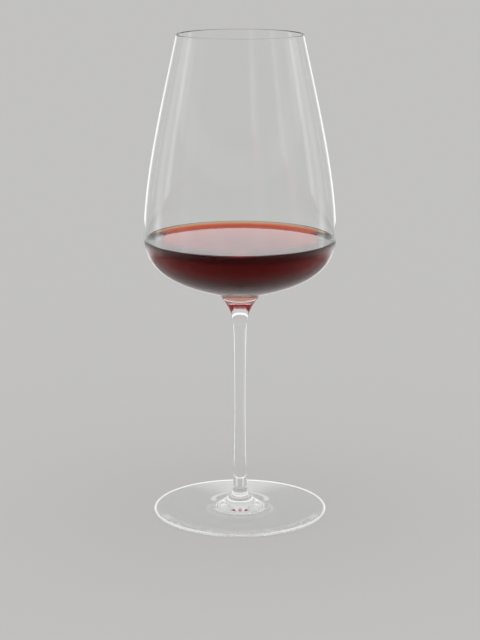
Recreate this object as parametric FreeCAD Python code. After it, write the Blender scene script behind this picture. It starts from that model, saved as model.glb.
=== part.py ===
import FreeCAD, Part
import math
import os

# A stemmed wine glass with a serving of wine in it. Millimetres, +Z up.
# The origin is the centre of the ring that the foot rests on.
# The glass is three gathers fused end to end: bowl, stem and foot, each its own solid.

# Heights along the axis
glass_height = 240.0        # table to rim
bowl_height = 130.5         # fused seam under the bowl to rim
belly_height = 32.5         # fused seam under the bowl to the widest ring
button_height = 3.2         # fused seam up to where the bowl's underside begins
seat_height = 7.5           # table to the top of the foot's raised centre

# Bowl
rim_radius = 31.0           # outside
belly_radius = 47.4         # outside, at the widest ring
button_radius = 12.0        # where the underside turns down to the seam
seam_radius = 8.45          # the stem's top and the bowl's button share it
wall = 0.9                  # from the rim to the widest ring
floor_wall = 1.3            # where the underside meets the button
rim_lean = 12.0             # degrees the wall leans in at the rim
floor_slope = 16.8          # degrees the underside rises where it leaves the button
seam_slope = 58.5           # degrees the skin rises where it crosses the seam

# Stem
neck_radius = 3.1           # at the lower end of the upper flare
waist_radius = 2.72         # at the middle of the shaft
ankle_radius = 3.56         # at the upper end of the base flare
base_radius = 5.4           # the stem's base and the foot's seat share it
upper_flare_length = 17.5
base_flare_length = 4.1

# Foot
foot_radius = 43.7
foot_edge = 1.3             # thickness at the edge, which is fully rounded
mound_radius = 19.0         # where the raised centre runs out into the disc
mound_height = 2.5          # top of the disc there
ring_width = 6.0            # flat ring that the glass stands on
hollow_rise = 0.9           # how far the middle of the underside stands off the table

# Wine
wine_depth = 26.3           # floor of the bowl to the level surface
edge_climb = 1.9            # how far the wine climbs the glass at its edge
edge_reach = 5.0            # how far in from the glass the surface starts to rise
contact_angle = 12.0        # degrees between the glass and the wine's climbing edge

# Fullness of the drawn curves: the length of an end's tangent over the length it spans
rim_fullness = 0.285
belly_fullness = 0.298
shoulder_fullness = 0.64
underside_fullness = 0.54
button_fullness = 0.3
flare_fullness = 0.3
neck_fullness = 0.62
base_fullness = 0.34
mound_fullness = 0.79

# Heights that follow from those above
seam_height = glass_height - bowl_height
belly_level = seam_height + belly_height
button_level = seam_height + button_height


def at(radius, height):
    return FreeCAD.Vector(radius, 0, height)


def heading(degrees):
    """Unit direction in the section: 0 is straight out from the axis, 90 is straight up."""
    return at(math.cos(math.radians(degrees)), math.sin(math.radians(degrees)))


def curve(*poles):
    bezier = Part.BezierCurve()
    bezier.setPoles(list(poles))
    return bezier.toShape()


def straight(start, end):
    return Part.LineSegment(start, end).toShape()


def arc(start, middle, end):
    return Part.Arc(start, middle, end).toShape()


def start_of(edge):
    return edge.Vertexes[0].Point


def end_of(edge):
    return edge.Vertexes[-1].Point


def turned(*outline):
    """The solid that a closed outline sweeps about the glass's axis."""
    section = Part.Face(Part.Wire(list(outline)))
    return section.revolve(at(0, 0), at(0, 1), 360)


def bowl_skin(depth):
    """Side and underside of the bowl, rim to button: depth 0 is the outer skin, 1 the inner."""
    lip_centre = at(rim_radius - wall / 2, glass_height - wall / 2)
    rim = lip_centre + heading(rim_lean) * wall * (0.5 - depth)
    belly = at(belly_radius - wall * depth, belly_level)
    button = at(button_radius, button_level) + heading(floor_slope + 90) * floor_wall * depth
    side_height = glass_height - belly_level
    side = curve(
        rim,
        rim - heading(rim_lean + 90) * side_height * rim_fullness,
        belly + at(0, side_height * belly_fullness),
        belly,
    )
    underside = curve(
        belly,
        belly - at(0, (belly_level - button_level) * shoulder_fullness),
        button + heading(floor_slope) * (belly_radius - button_radius) * underside_fullness,
        button,
    )
    return side, underside


def bowl_floor(rise_start):
    """Inside of the floor, from the wall in to the axis, where it is level."""
    half_way = rise_start.x / 2
    level = rise_start.z - half_way * math.tan(math.radians(floor_slope))
    return curve(rise_start, at(half_way, level), at(0, level))


def bowl():
    outer_side, outer_underside = bowl_skin(0)
    inner_side, inner_underside = bowl_skin(1)
    floor = bowl_floor(end_of(inner_underside))
    lip_centre = (start_of(outer_side) + start_of(inner_side)) * 0.5
    lip_top = lip_centre + heading(rim_lean + 90) * (wall / 2)
    lip = arc(start_of(outer_side), lip_top, start_of(inner_side))
    underside_end = end_of(outer_underside)
    seam_edge = at(seam_radius, seam_height)
    button_span = (underside_end - seam_edge).Length
    button = curve(
        underside_end,
        underside_end - heading(floor_slope) * button_span * button_fullness,
        seam_edge + heading(seam_slope) * button_span * button_fullness,
        seam_edge,
    )
    return turned(
        outer_side,
        lip,
        inner_side,
        inner_underside,
        floor,
        straight(end_of(floor), at(0, seam_height)),
        straight(at(0, seam_height), seam_edge),
        button,
        outer_underside,
    )


def wine():
    """The bowl's inside up to the wine's level, with an edge that climbs the glass."""
    side, underside = bowl_skin(1)
    floor = bowl_floor(end_of(underside))
    rim_centre = at(0, start_of(side).z)
    inside = turned(
        side,
        underside,
        floor,
        straight(end_of(floor), rim_centre),
        straight(rim_centre, start_of(side)),
    )
    level = end_of(floor).z + wine_depth
    contact_line = straight(at(0, level + edge_climb), at(2 * belly_radius, level + edge_climb))
    contact = Part.Wire([side, underside]).distToShape(contact_line)[1][0][0]
    climb_start = at(contact.x - edge_reach, level)
    climb_bend = at(contact.x - edge_climb * math.tan(math.radians(contact_angle)), level)
    top_outside = at(2 * belly_radius, 2 * glass_height)
    air = turned(
        straight(at(0, level), climb_start),
        curve(climb_start, climb_bend, contact),
        straight(contact, end_of(contact_line)),
        straight(end_of(contact_line), top_outside),
        straight(top_outside, at(0, top_outside.z)),
        straight(at(0, top_outside.z), at(0, level)),
    )
    return inside.cut(air).Solids[0]


def stem():
    top = at(seam_radius, seam_height)
    neck = at(neck_radius, seam_height - upper_flare_length)
    ankle = at(ankle_radius, seat_height + base_flare_length)
    base = at(base_radius, seat_height)
    # both middle poles of the shaft stand in by the same radius, so its middle is the waist
    third = (neck.z - ankle.z) / 3
    pulled_radius = (8 * waist_radius - neck_radius - ankle_radius) / 6
    below_neck = at(pulled_radius, neck.z - third)
    above_ankle = at(pulled_radius, ankle.z + third)
    into_neck = (neck - below_neck).normalize()
    out_of_ankle = (ankle - above_ankle).normalize()
    upper_flare = curve(
        top,
        top - heading(seam_slope) * upper_flare_length * flare_fullness,
        neck + into_neck * upper_flare_length * neck_fullness,
        neck,
    )
    shaft = curve(neck, below_neck, above_ankle, ankle)
    base_flare = curve(ankle, ankle + out_of_ankle * base_flare_length * base_fullness, base)
    return turned(
        straight(at(0, seam_height), top),
        upper_flare,
        shaft,
        base_flare,
        straight(base, at(0, seat_height)),
        straight(at(0, seat_height), at(0, seam_height)),
    )


def foot():
    seat_edge = at(base_radius, seat_height)
    mound_end = at(mound_radius, mound_height)
    edge_top = at(foot_radius - foot_edge / 2, foot_edge)
    edge_bottom = at(edge_top.x, 0)
    ring_inside = at(edge_bottom.x - ring_width, 0)
    hollow_top = at(0, hollow_rise)
    up_the_disc = (mound_end - edge_top).normalize()
    mound_turn = mound_end + up_the_disc * (mound_radius - base_radius) * mound_fullness
    return turned(
        straight(at(0, seat_height), seat_edge),
        curve(seat_edge, mound_turn, mound_end),
        straight(mound_end, edge_top),
        arc(edge_top, at(foot_radius, foot_edge / 2), edge_bottom),
        straight(edge_bottom, ring_inside),
        curve(ring_inside, at(ring_inside.x / 2, hollow_rise), hollow_top),
        straight(hollow_top, at(0, seat_height)),
    )


os.makedirs("parts", exist_ok=True)
for node, solid in {"bowl": bowl(), "wine": wine(), "stem": stem(), "foot": foot()}.items():
    solid.exportStep("parts/" + node + ".step")
    print(node, "closed" if solid.isClosed() and solid.isValid() else "NOT CLOSED",
          f"{solid.Volume / 1000:.2f} cm3, centre of mass {solid.CenterOfMass.z:.1f} mm up")
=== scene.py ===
import math

import bmesh
import bpy
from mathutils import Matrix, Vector


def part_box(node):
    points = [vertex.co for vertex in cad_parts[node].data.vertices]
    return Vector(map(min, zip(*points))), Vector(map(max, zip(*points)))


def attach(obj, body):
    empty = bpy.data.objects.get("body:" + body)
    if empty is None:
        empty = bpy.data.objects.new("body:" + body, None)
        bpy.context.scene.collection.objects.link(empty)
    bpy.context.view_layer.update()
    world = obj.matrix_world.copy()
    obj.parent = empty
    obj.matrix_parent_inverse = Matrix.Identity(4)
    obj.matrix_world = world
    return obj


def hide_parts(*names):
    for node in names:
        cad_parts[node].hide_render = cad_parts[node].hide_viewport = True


# A stemmed wine glass with a serving of red wine: clear glass blown, drawn and fused from three
# gathers, on a plain pale floor. Metres, +Z up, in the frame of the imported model.

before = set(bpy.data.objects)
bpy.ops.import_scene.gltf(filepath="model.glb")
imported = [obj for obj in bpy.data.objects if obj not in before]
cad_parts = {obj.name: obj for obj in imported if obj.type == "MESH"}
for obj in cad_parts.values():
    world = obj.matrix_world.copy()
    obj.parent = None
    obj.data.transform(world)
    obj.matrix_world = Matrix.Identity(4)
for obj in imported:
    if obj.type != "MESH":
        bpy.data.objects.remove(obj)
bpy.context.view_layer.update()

MM = 0.001
BODY = "root"

# Heights and radii that the frame gives
rim_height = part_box("bowl")[1].z
seam_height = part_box("bowl")[0].z
belly_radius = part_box("bowl")[1].x
seam_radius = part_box("stem")[1].x
seat_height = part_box("stem")[0].z
foot_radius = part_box("foot")[1].x
contact_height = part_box("wine")[1].z

# Bowl
belly_height = seam_height + 32.5 * MM
button_height = seam_height + 3.2 * MM
rim_radius = 31.0 * MM
button_radius = 12.0 * MM
wall = 0.9 * MM
floor_wall = 1.3 * MM
rim_lean = 12.0             # degrees
floor_slope = 16.8          # degrees
seam_slope = 58.5           # degrees

# Fused seam under the bowl: the glass swells a little where the hot gathers met
bead = 0.35 * MM
bead_reach = 1.1 * MM

# Stem
neck_radius = 3.1 * MM
waist_radius = 2.72 * MM
ankle_radius = 3.56 * MM
base_radius = 5.4 * MM
upper_flare_length = 17.5 * MM
base_flare_length = 4.1 * MM

# Foot
foot_edge = 1.3 * MM
mound_radius = 19.0 * MM
mound_height = 2.5 * MM
ring_width = 6.0 * MM
hollow_rise = 0.9 * MM

# Wine
edge_climb = 1.9 * MM
edge_reach = 5.0 * MM
contact_angle = 12.0        # degrees
wetting = 0.3 * MM          # how far the wine's mesh enters the glass, so that no air shows between
level = contact_height - edge_climb

# Fullness of the drawn curves: the length of an end's tangent over the length it spans
rim_fullness = 0.285
belly_fullness = 0.298
shoulder_fullness = 0.64
underside_fullness = 0.54
button_fullness = 0.3
flare_fullness = 0.3
neck_fullness = 0.62
base_fullness = 0.34
mound_fullness = 0.79

# Fineness of the meshes: faces around the axis, then steps along each stretch of the outlines
SEGMENTS = 256
ROUNDING_STEPS = 12
SIDE_STEPS = 90
UNDERSIDE_STEPS = 70
BUTTON_STEPS = 28
FLOOR_STEPS = 24
UPPER_FLARE_STEPS = 72
SHAFT_STEPS = 48
BASE_FLARE_STEPS = 14
MOUND_STEPS = 32
FOOT_TOP_STEPS = 24
RING_STEPS = 4
HOLLOW_STEPS = 40
LEVEL_STEPS = 20
CLIMB_STEPS = 16

NEAR_ZERO = 1e-9            # a radius or a difference below this is none
SAME_POINT = 1e-7           # two ends closer than this are one point


# ---------------------------------------------------------------- outlines, as (radius, height)

def at(radius, height):
    return Vector((radius, height))


def heading(degrees):
    return at(math.cos(math.radians(degrees)), math.sin(math.radians(degrees)))


def curve(poles, steps):
    """Points along a Bezier curve of two, three or four poles, both ends included."""
    points = []
    for step in range(steps + 1):
        t = step / steps
        row = list(poles)
        while len(row) > 1:
            row = [a.lerp(b, t) for a, b in zip(row, row[1:])]
        points.append(row[0])
    return points


def rounding(centre, radius, start):
    """Half a turn clockwise about a centre, from a heading in degrees."""
    turns = [start - 180 * step / ROUNDING_STEPS for step in range(ROUNDING_STEPS + 1)]
    return [centre + heading(turn) * radius for turn in turns]


def joined(*runs):
    """One outline from runs that follow on, each shared end kept once."""
    outline = list(runs[0])
    for run in runs[1:]:
        shared = (run[0] - outline[-1]).length < SAME_POINT
        outline += run[1:] if shared else run
    return outline


def lip_centre():
    """Centre of the rounded rim, in the middle of the wall."""
    return at(rim_radius - wall / 2, rim_height - wall / 2)


def skin_poles(depth):
    """Poles of the bowl's side and underside: depth 0 is the outer skin, 1 the inner."""
    rim = lip_centre() + heading(rim_lean) * wall * (0.5 - depth)
    belly = at(belly_radius - wall * depth, belly_height)
    button = at(button_radius, button_height) + heading(floor_slope + 90) * floor_wall * depth
    side = rim_height - belly_height
    side_poles = [
        rim,
        rim - heading(rim_lean + 90) * side * rim_fullness,
        belly + at(0, side * belly_fullness),
        belly,
    ]
    underside_poles = [
        belly,
        belly - at(0, (belly_height - button_height) * shoulder_fullness),
        button + heading(floor_slope) * (belly_radius - button_radius) * underside_fullness,
        button,
    ]
    return side_poles, underside_poles


def inner_skin():
    """Inside of the bowl from the rim to the axis."""
    side, underside = skin_poles(1)
    edge = underside[-1]
    floor_level = edge.y - edge.x / 2 * math.tan(math.radians(floor_slope))
    floor_poles = [edge, at(edge.x / 2, floor_level), at(0, floor_level)]
    return joined(
        curve(side, SIDE_STEPS),
        curve(underside, UNDERSIDE_STEPS),
        curve(floor_poles, FLOOR_STEPS),
    )


def beaded(outline):
    """The outline with the swelling of the fused seam on its skin."""
    swollen = []
    for point in outline:
        away = abs(point.y - seam_height) / bead_reach
        outside = point.x > seam_radius - 2 * bead_reach
        swell = bead * (1 - away ** 2) ** 2 if away < 1 and outside else 0
        swollen.append(point + at(swell, 0))
    return swollen


def bowl_outline():
    side, underside = skin_poles(0)
    button_top = underside[-1]
    seam_edge = at(seam_radius, seam_height)
    span = (button_top - seam_edge).length * button_fullness
    button = [
        button_top,
        button_top - heading(floor_slope) * span,
        seam_edge + heading(seam_slope) * span,
        seam_edge,
    ]
    return beaded(joined(
        inner_skin()[::-1],
        rounding(lip_centre(), wall / 2, rim_lean + 180),
        curve(side, SIDE_STEPS),
        curve(underside, UNDERSIDE_STEPS),
        curve(button, BUTTON_STEPS),
        [seam_edge, at(0, seam_height)],
    ))


def stem_outline():
    top = at(seam_radius, seam_height)
    neck = at(neck_radius, seam_height - upper_flare_length)
    ankle = at(ankle_radius, seat_height + base_flare_length)
    base = at(base_radius, seat_height)
    # The shaft is a cubic curve whose middle has the waist's radius
    third = (neck.y - ankle.y) / 3
    pulled_radius = (8 * waist_radius - neck_radius - ankle_radius) / 6
    below_neck = at(pulled_radius, neck.y - third)
    above_ankle = at(pulled_radius, ankle.y + third)
    upper_flare = [
        top,
        top - heading(seam_slope) * upper_flare_length * flare_fullness,
        neck + (neck - below_neck).normalized() * upper_flare_length * neck_fullness,
        neck,
    ]
    into_flare = (ankle - above_ankle).normalized() * base_flare_length * base_fullness
    return beaded(joined(
        [at(0, seam_height), top],
        curve(upper_flare, UPPER_FLARE_STEPS),
        curve([neck, below_neck, above_ankle, ankle], SHAFT_STEPS),
        curve([ankle, ankle + into_flare, base], BASE_FLARE_STEPS),
        [base, at(0, seat_height)],
    ))


def foot_outline():
    seat_edge = at(base_radius, seat_height)
    mound_end = at(mound_radius, mound_height)
    edge_centre = at(foot_radius - foot_edge / 2, foot_edge / 2)
    edge_top = edge_centre + at(0, foot_edge / 2)
    ring_inside = at(edge_centre.x - ring_width, 0)
    turn = (mound_end - edge_top).normalized() * (mound_radius - base_radius) * mound_fullness
    hollow = [ring_inside, at(ring_inside.x / 2, hollow_rise), at(0, hollow_rise)]
    return joined(
        [at(0, seat_height), seat_edge],
        curve([seat_edge, mound_end + turn, mound_end], MOUND_STEPS),
        curve([mound_end, edge_top], FOOT_TOP_STEPS),
        rounding(edge_centre, foot_edge / 2, 90),
        curve([at(edge_centre.x, 0), ring_inside], RING_STEPS),
        curve(hollow, HOLLOW_STEPS),
    )


def wine_outline():
    inside = inner_skin()
    above = next(i for i, p in enumerate(inside) if p.y <= contact_height) - 1
    a, b = inside[above], inside[above + 1]
    contact = a.lerp(b, (a.y - contact_height) / (a.y - b.y))
    climb = [
        contact,
        at(contact.x - edge_climb * math.tan(math.radians(contact_angle)), level),
        at(contact.x - edge_reach, level),
    ]
    wetted = [contact] + inside[above + 1:]
    last = len(wetted) - 1
    pushed = []
    for i, point in enumerate(wetted):
        along = wetted[min(i + 1, last)] - wetted[max(i - 1, 0)]
        outward = at(-along.y, along.x).normalized()
        pushed.append(point + outward * wetting)
    pushed[0] = at(contact.x + wetting, contact_height)
    pushed[-1] = at(0, wetted[-1].y - wetting)
    return joined(
        curve([at(0, level), climb[-1]], LEVEL_STEPS),
        curve(climb[::-1], CLIMB_STEPS),
        pushed,
    )


# ---------------------------------------------------------------- meshes

# Material slots of a glass piece; only the bowl has a wetted skin
SKIN, FUSED, WETTED = 0, 1, 2


def is_cap(a, b):
    """A flat disc at a fused seam, which ends on the axis."""
    flat = abs(a.y - b.y) < NEAR_ZERO
    at_seam = min(abs(a.y - seam_height), abs(a.y - seat_height)) < NEAR_ZERO
    return flat and at_seam and min(a.x, b.x) < NEAR_ZERO


def glass_slot(a, b):
    return FUSED if is_cap(a, b) else SKIN


def bowl_slot(a, b):
    inside = a.x < b.x and min(a.y, b.y) > seam_height
    wetted = inside and max(a.y, b.y) <= contact_height
    return WETTED if wetted else glass_slot(a, b)


def wine_slot(a, b):
    return SKIN


def ring_of(work, point):
    """The vertices that a point of an outline makes in a full turn: one if it lies on the axis."""
    if point.x < NEAR_ZERO:
        return [work.verts.new((0, 0, point.y))]
    ring = []
    for k in range(SEGMENTS):
        angle = 2 * math.pi * k / SEGMENTS
        ring.append(work.verts.new((point.x * math.cos(angle), point.x * math.sin(angle), point.y)))
    return ring


def turned(name, outline, materials, pick):
    """Lathes an outline about Z into a closed mesh; pick gives each ring of faces its material."""
    work = bmesh.new()
    rings = [ring_of(work, point) for point in outline]
    for i, (upper, lower) in enumerate(zip(rings, rings[1:])):
        slot = pick(outline[i], outline[i + 1])
        for k in range(SEGMENTS):
            after = (k + 1) % SEGMENTS
            if len(upper) == 1:
                corners = [upper[0], lower[k], lower[after]]
            elif len(lower) == 1:
                corners = [upper[k], lower[0], upper[after]]
            else:
                corners = [upper[k], lower[k], lower[after], upper[after]]
            face = work.faces.new(corners)
            face.smooth = True
            face.material_index = slot
    bmesh.ops.recalc_face_normals(work, faces=work.faces)
    for edge in work.edges:
        if len({face.material_index == FUSED for face in edge.link_faces}) == 2:
            edge.smooth = False
    piece = placed(name, work)
    for material in materials:
        piece.data.materials.append(material)
    return piece


def placed(name, work):
    """Turns a finished bmesh into an object of the scene."""
    mesh = bpy.data.meshes.new(name)
    work.to_mesh(mesh)
    work.free()
    made = bpy.data.objects.new(name, mesh)
    bpy.context.scene.collection.objects.link(made)
    return made


# ---------------------------------------------------------------- materials

GLASS_IOR = 1.52
GLASS_COLOUR = (0.985, 0.992, 0.99, 1)
SHADOW_COLOUR = (0.95, 0.955, 0.952, 1)     # what each surface of the glass lets through
WINE_IOR = 1.345
WINE_COLOUR = (0.975, 0.42, 0.0, 1)         # orange where it is thin, dark red where it is thick
WINE_DENSITY = 1500                         # per metre

# The polish is perfect where a relief's noise is below the first, and fully hazy above the second
HAZE_STARTS = 0.5
HAZE_FULL = 0.8


def new_material(name):
    material = bpy.data.materials.new(name)
    material.use_nodes = True
    tree = material.node_tree
    tree.nodes.clear()
    output = tree.nodes.new("ShaderNodeOutputMaterial")
    shader = tree.nodes.new("ShaderNodeBsdfPrincipled")
    tree.links.new(shader.outputs["BSDF"], output.inputs["Surface"])
    return material, shader


def make_clear(shader, ior, colour, specular):
    """Sets a shader to a clear body; specular scales what it mirrors when it is seen square on."""
    shader.inputs["Base Color"].default_value = colour
    shader.inputs["Roughness"].default_value = 0.0
    shader.inputs["IOR"].default_value = ior
    shader.inputs["Transmission Weight"].default_value = 1.0
    shader.inputs["Specular Tint"].default_value = (specular, specular, specular, 1)


def let_lamps_through(material, shader):
    """Lets diffuse light and shadow rays cross the glass straight, so that the floor under it
    stays bright. It stands in for the light that real glass gathers there."""
    tree = material.node_tree
    output = tree.nodes["Material Output"]
    rays = tree.nodes.new("ShaderNodeLightPath")
    straight = tree.nodes.new("ShaderNodeBsdfTransparent")
    straight.inputs["Color"].default_value = SHADOW_COLOUR
    seen = shader.outputs["BSDF"]
    for kind in ("Is Shadow Ray", "Is Diffuse Ray"):
        swap = tree.nodes.new("ShaderNodeMixShader")
        tree.links.new(rays.outputs[kind], swap.inputs["Fac"])
        tree.links.new(seen, swap.inputs[1])
        tree.links.new(straight.outputs["BSDF"], swap.inputs[2])
        seen = swap.outputs["Shader"]
    tree.links.new(seen, output.inputs["Surface"])


def relief(material, shader, stretch, detail, depth, haze):
    """Fine unevenness of the surface: noise stretched along X, Y and Z, as a bump of a given depth
    in metres and as a trace of haze in the polish."""
    tree = material.node_tree
    place = tree.nodes.new("ShaderNodeTexCoord")
    mapping = tree.nodes.new("ShaderNodeMapping")
    mapping.inputs["Scale"].default_value = stretch
    noise = tree.nodes.new("ShaderNodeTexNoise")
    noise.inputs["Scale"].default_value = 1.0
    noise.inputs["Detail"].default_value = detail
    bump = tree.nodes.new("ShaderNodeBump")
    bump.inputs["Strength"].default_value = 1.0
    bump.inputs["Distance"].default_value = depth
    polish = tree.nodes.new("ShaderNodeMapRange")
    polish.inputs["From Min"].default_value = HAZE_STARTS
    polish.inputs["From Max"].default_value = HAZE_FULL
    polish.inputs["To Max"].default_value = haze
    tree.links.new(place.outputs["Object"], mapping.inputs["Vector"])
    tree.links.new(mapping.outputs["Vector"], noise.inputs["Vector"])
    tree.links.new(noise.outputs["Fac"], bump.inputs["Height"])
    tree.links.new(bump.outputs["Normal"], shader.inputs["Normal"])
    tree.links.new(noise.outputs["Fac"], polish.inputs["Value"])
    tree.links.new(polish.outputs["Result"], shader.inputs["Roughness"])
    return mapping


def round_the_axis(material, mapping):
    """Makes the relief run in rings: the noise reads the distance from the axis and the height."""
    tree = material.node_tree
    place = tree.nodes["Texture Coordinate"]
    split = tree.nodes.new("ShaderNodeSeparateXYZ")
    flattened = tree.nodes.new("ShaderNodeCombineXYZ")
    distance = tree.nodes.new("ShaderNodeVectorMath")
    distance.operation = "LENGTH"
    rings = tree.nodes.new("ShaderNodeCombineXYZ")
    tree.links.new(place.outputs["Object"], split.inputs["Vector"])
    for axis in "XY":
        tree.links.new(split.outputs[axis], flattened.inputs[axis])
    tree.links.new(flattened.outputs["Vector"], distance.inputs[0])
    tree.links.new(distance.outputs["Value"], rings.inputs["X"])
    tree.links.new(split.outputs["Z"], rings.inputs["Z"])
    tree.links.new(rings.outputs["Vector"], mapping.inputs["Vector"])


def clear_glass(name, specular, ringed=False, **unevenness):
    material, shader = new_material(name)
    make_clear(shader, GLASS_IOR, GLASS_COLOUR, specular)
    mapping = relief(material, shader, **unevenness)
    if ringed:
        round_the_axis(material, mapping)
    let_lamps_through(material, shader)
    return material


def blown_glass(name, specular):
    """The bowl: slow waves left by blowing."""
    return clear_glass(name, specular, stretch=(26, 26, 18), detail=2, depth=0.03 * MM, haze=0.02)


def drawn_glass():
    """The stem: faint streaks along its length, from being drawn out hot."""
    return clear_glass(
        "drawn_glass", specular=0.6, stretch=(420, 420, 16), detail=1.5, depth=0.004 * MM, haze=0.02,
    )


def spun_glass():
    """The foot: faint rings, from being spread on the turning iron."""
    return clear_glass(
        "spun_glass", specular=0.6, ringed=True,
        stretch=(260, 1, 60), detail=1.5, depth=0.006 * MM, haze=0.02,
    )


def fused_joint():
    """The inside of a fused seam: glass on both sides, so nothing is to be seen there."""
    material, shader = new_material("fused_joint")
    shader.inputs["Alpha"].default_value = 0.0
    return material


def red_wine():
    """The wine: a nearly flat surface, and light absorbed on its way through the volume."""
    material, shader = new_material("red_wine")
    make_clear(shader, WINE_IOR, colour=(1, 1, 1, 1), specular=0.0)
    relief(material, shader, stretch=(60, 60, 60), detail=1, depth=0.01 * MM, haze=0.015)
    tree = material.node_tree
    absorb = tree.nodes.new("ShaderNodeVolumeAbsorption")
    absorb.inputs["Color"].default_value = WINE_COLOUR
    absorb.inputs["Density"].default_value = WINE_DENSITY
    tree.links.new(absorb.outputs["Volume"], tree.nodes["Material Output"].inputs["Volume"])
    return material


# ---------------------------------------------------------------- the glass and the wine

joint = fused_joint()
dry_skin = blown_glass("blown_glass", specular=0.25)
wetted_skin = blown_glass("blown_glass_wetted", specular=0.0)
bowl = turned("bowl_glass", bowl_outline(), [dry_skin, joint, wetted_skin], bowl_slot)
stem = turned("stem_glass", stem_outline(), [drawn_glass(), joint], glass_slot)
foot = turned("foot_glass", foot_outline(), [spun_glass(), joint], glass_slot)
wine = turned("wine_serving", wine_outline(), [red_wine()], wine_slot)

for piece, node in ((bowl, "bowl"), (stem, "stem"), (foot, "foot")):
    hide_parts(node)
    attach(piece, BODY)
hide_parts("wine")
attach(wine, BODY)


# ---------------------------------------------------------------- studio

# Brightness is radiance, where 1 shows as white. Azimuths are in degrees from +X towards +Y.
FLOOR_GLOW = 0.5            # about how bright the lit floor is
FLOOR_COLOUR = (0.78, 0.775, 0.765, 1)
FLOOR_RADIUS = 14
FLOOR_DROP = 0.15 * MM      # keeps the floor clear of the ring that the foot rests on

# The sky, as (sine of the elevation, grey): as bright as the floor up to 7 degrees above the
# horizon, brightest from 9 to 12 degrees, and a plain dome from 14 degrees up
SKY_STRENGTH = 1.25
SKY_BANDS = ((0.13, 0.43), (0.165, 1.1), (0.21, 1.1), (0.25, 0.5), (0.8, 0.55))

# Cards flat on the floor lie just over it, and the one under the foot's rim lies in the gap
CARD_LEVEL = 0.2 * MM
UNDER_RIM_LEVEL = -0.1 * MM

# Strips lie on the floor and point at the glass, between the multiples of 45 degrees. The glass
# bends their light into lines at its edges.
STRIP_AZIMUTHS = (22.5, 157.5, 202.5, 247.5)
STRIP_SPREAD = 9
STRIP_BRIGHTNESS = 2.2
STRIP_STOPS = ((0.06, 1), (0.6, 1), (1.6, 0.6), (3.5, 0))

# Upright panels, as (azimuth, brightness), for the glass to mirror
PANELS = (
    (67.5, 1.8), (112.5, 1.8), (157.5, 1.6), (22.5, 1.6), (202.5, 1.4), (292.5, 1.4), (337.5, 1.4),
)
PANEL_SPREAD = 14
PANEL_RADIUS = 0.9
PANEL_HEIGHT = 0.8

# A ring on the floor for the bowl to mirror, and a narrow one that lights the foot's rim from below
RING_BRIGHTNESS = 1.4
RING_STOPS = ((0.3, 0), (0.42, 1), (0.5, 1), (0.65, 0))
UNDER_RIM_BRIGHTNESS = 0.95
UNDER_RIM_STOPS = (
    (foot_radius - 1.5 * MM, 0), (foot_radius - 1.0 * MM, 1),
    (foot_radius + 0.3 * MM, 1), (foot_radius + 1.0 * MM, 0),
)

HALF_TURN = 180             # the spread of a card that is a whole ring
CARD_STEPS = 16
RING_CARD_STEPS = 96

CAMERA_PLACE = (0, -0.9053, 0.3113)
CAMERA_TILT = 13.22         # degrees below level
CAMERA_LENS = 105           # millimetres

BOUNCES = 128               # light runs a long way inside the thin foot before it leaves the rim


def floor():
    work = bmesh.new()
    bmesh.ops.create_circle(work, cap_ends=True, segments=96, radius=FLOOR_RADIUS)
    bmesh.ops.translate(work, verts=work.verts, vec=(0, 0, -FLOOR_DROP))
    plane = placed("floor", work)
    material, shader = new_material("pale_floor")
    shader.inputs["Base Color"].default_value = FLOOR_COLOUR
    shader.inputs["Roughness"].default_value = 1.0
    shader.inputs["Specular IOR Level"].default_value = 0.0
    plane.data.materials.append(material)


def glow_material(name, brightness):
    """Light that goes from the floor's brightness to the given one, as the mesh's glow says."""
    material = bpy.data.materials.new(name)
    material.use_nodes = True
    tree = material.node_tree
    tree.nodes.clear()
    falloff = tree.nodes.new("ShaderNodeAttribute")
    falloff.attribute_name = "glow"
    lit = tree.nodes.new("ShaderNodeMapRange")
    lit.inputs["To Min"].default_value = FLOOR_GLOW
    lit.inputs["To Max"].default_value = brightness
    emission = tree.nodes.new("ShaderNodeEmission")
    output = tree.nodes.new("ShaderNodeOutputMaterial")
    tree.links.new(falloff.outputs["Fac"], lit.inputs["Value"])
    tree.links.new(lit.outputs["Result"], emission.inputs["Strength"])
    tree.links.new(emission.outputs["Emission"], output.inputs["Surface"])
    return material


def card(name, azimuth, spread, profile, brightness, sees):
    """A glowing card round the object, from azimuth - spread to azimuth + spread in degrees, that
    only the glass sees, in its "reflections" or its "refractions". The profile lists (radius,
    height, glow) from one side to the other. The glow also fades towards the card's ends, unless
    it is a whole ring."""
    whole = spread == HALF_TURN
    steps = RING_CARD_STEPS if whole else CARD_STEPS
    work = bmesh.new()
    glow = work.verts.layers.float.new("glow")
    rows = []
    for radius, height, peak in profile:
        row = []
        for step in range(steps + 1):
            across = 2 * step / steps - 1
            angle = math.radians(azimuth + spread * across)
            vert = work.verts.new((radius * math.cos(angle), radius * math.sin(angle), height))
            vert[glow] = peak if whole else peak * math.cos(across * math.pi / 2) ** 2
            row.append(vert)
        rows.append(row)
    for lower, upper in zip(rows, rows[1:]):
        for corners in zip(lower, upper, upper[1:], lower[1:]):
            work.faces.new(corners)
    sheet = placed(name, work)
    sheet.data.materials.append(glow_material(name, brightness))
    sheet.visible_camera = False
    sheet.visible_diffuse = False
    sheet.visible_shadow = False
    sheet.visible_glossy = sees == "reflections"
    sheet.visible_transmission = sees == "refractions"


def flat(height, stops):
    """The profile of a level card, from (radius, glow) stops."""
    return [(radius, height, glow) for radius, glow in stops]


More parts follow.
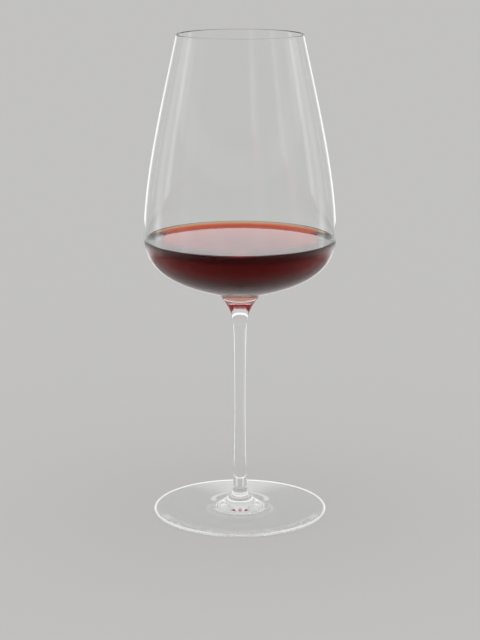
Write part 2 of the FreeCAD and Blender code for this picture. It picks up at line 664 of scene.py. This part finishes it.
def cards():
    strip = flat(CARD_LEVEL, STRIP_STOPS)
    for azimuth in STRIP_AZIMUTHS:
        card(f"strip_{azimuth:.0f}", azimuth, STRIP_SPREAD, strip, STRIP_BRIGHTNESS, "refractions")
    panel = [(PANEL_RADIUS, 0, 1), (PANEL_RADIUS, PANEL_HEIGHT, 1)]
    for azimuth, brightness in PANELS:
        card(f"panel_{azimuth:.0f}", azimuth, PANEL_SPREAD, panel, brightness, "reflections")
    ring = flat(CARD_LEVEL, RING_STOPS)
    card("ring", 0, HALF_TURN, ring, RING_BRIGHTNESS, "reflections")
    under_rim = flat(UNDER_RIM_LEVEL, UNDER_RIM_STOPS)
    card("under_rim", 0, HALF_TURN, under_rim, UNDER_RIM_BRIGHTNESS, "refractions")


def sky():
    world = bpy.data.worlds.new("studio")
    world.use_nodes = True
    nodes, links = world.node_tree.nodes, world.node_tree.links
    background = nodes["Background"]
    coordinates = nodes.new("ShaderNodeTexCoord")
    split = nodes.new("ShaderNodeSeparateXYZ")
    bands = nodes.new("ShaderNodeValToRGB")
    ramp = bands.color_ramp
    ramp.interpolation = "EASE"
    while len(ramp.elements) < len(SKY_BANDS):
        ramp.elements.new(0.5)
    for element, (place, grey) in zip(ramp.elements, SKY_BANDS):
        element.position = place
        element.color = (grey, grey, grey, 1)
    links.new(coordinates.outputs["Generated"], split.inputs[0])
    links.new(split.outputs["Z"], bands.inputs["Fac"])
    links.new(bands.outputs["Color"], background.inputs["Color"])
    background.inputs["Strength"].default_value = SKY_STRENGTH
    bpy.context.scene.world = world


def camera():
    """At the viewing angle of a seated person's eye, a little above the rim."""
    data = bpy.data.cameras.new("camera")
    data.lens = CAMERA_LENS
    data.clip_start = 0.05
    data.clip_end = 60
    eye = bpy.data.objects.new("camera", data)
    eye.location = CAMERA_PLACE
    eye.rotation_euler = (math.radians(90 - CAMERA_TILT), 0, 0)
    bpy.context.scene.collection.objects.link(eye)
    bpy.context.scene.camera = eye


floor()
sky()
cards()
camera()
bpy.context.scene.view_settings.view_transform = "Standard"
bpy.context.scene.cycles.max_bounces = BOUNCES
bpy.context.scene.cycles.glossy_bounces = BOUNCES
bpy.context.scene.cycles.transmission_bounces = BOUNCES
